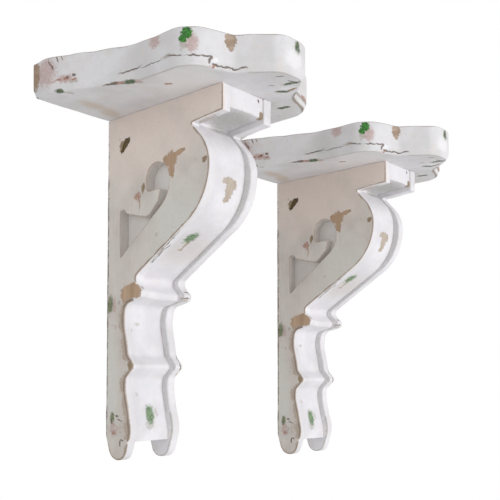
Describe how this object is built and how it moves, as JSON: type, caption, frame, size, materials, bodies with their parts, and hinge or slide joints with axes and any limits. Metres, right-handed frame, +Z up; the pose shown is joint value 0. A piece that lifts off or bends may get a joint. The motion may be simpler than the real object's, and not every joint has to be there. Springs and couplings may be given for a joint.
{
  "type": "wall shelf with brackets",
  "caption": "Matching small wall shelves, each a curved-front board on a scroll-cut corbel bracket with pierced side panels, hung on keyhole plates.",
  "frame": {"origin": "midway between the first shelf's two keyhole entries, in the plane of the wall", "axes": "+X along the wall towards the second shelf, -Y out of the wall to the boards' noses, +Z up"},
  "size_m": [0.467, 0.197, 0.3529],
  "materials": {
    "painted_board": "worn white paint over wood, satin",
    "painted_core": "worn white paint over wood, satin",
    "painted_panel": "worn off-white paint over wood, satin",
    "dowel_wood": "bare beech",
    "nail_steel": "dull steel, painted over",
    "screw_steel": "zinc plated",
    "hanger_steel": "zinc plated"
  },
  "bodies": {
    "root": {"first_shelf_board": "painted_board", "first_core": "painted_core", "first_left_panel": "painted_panel", "first_right_panel": "painted_panel", "first_shelf_dowels": "dowel_wood", "first_left_nails": "nail_steel", "first_right_nails": "nail_steel", "first_upper_hanger": "hanger_steel", "first_lower_hanger": "hanger_steel", "first_hanger_screws": "screw_steel", "second_shelf_board": "painted_board", "second_core": "painted_core", "second_left_panel": "painted_panel", "second_right_panel": "painted_panel", "second_shelf_dowels": "dowel_wood", "second_left_nails": "nail_steel", "second_right_nails": "nail_steel", "second_upper_hanger": "hanger_steel", "second_lower_hanger": "hanger_steel", "second_hanger_screws": "screw_steel"}
  },
  "joints": []
}
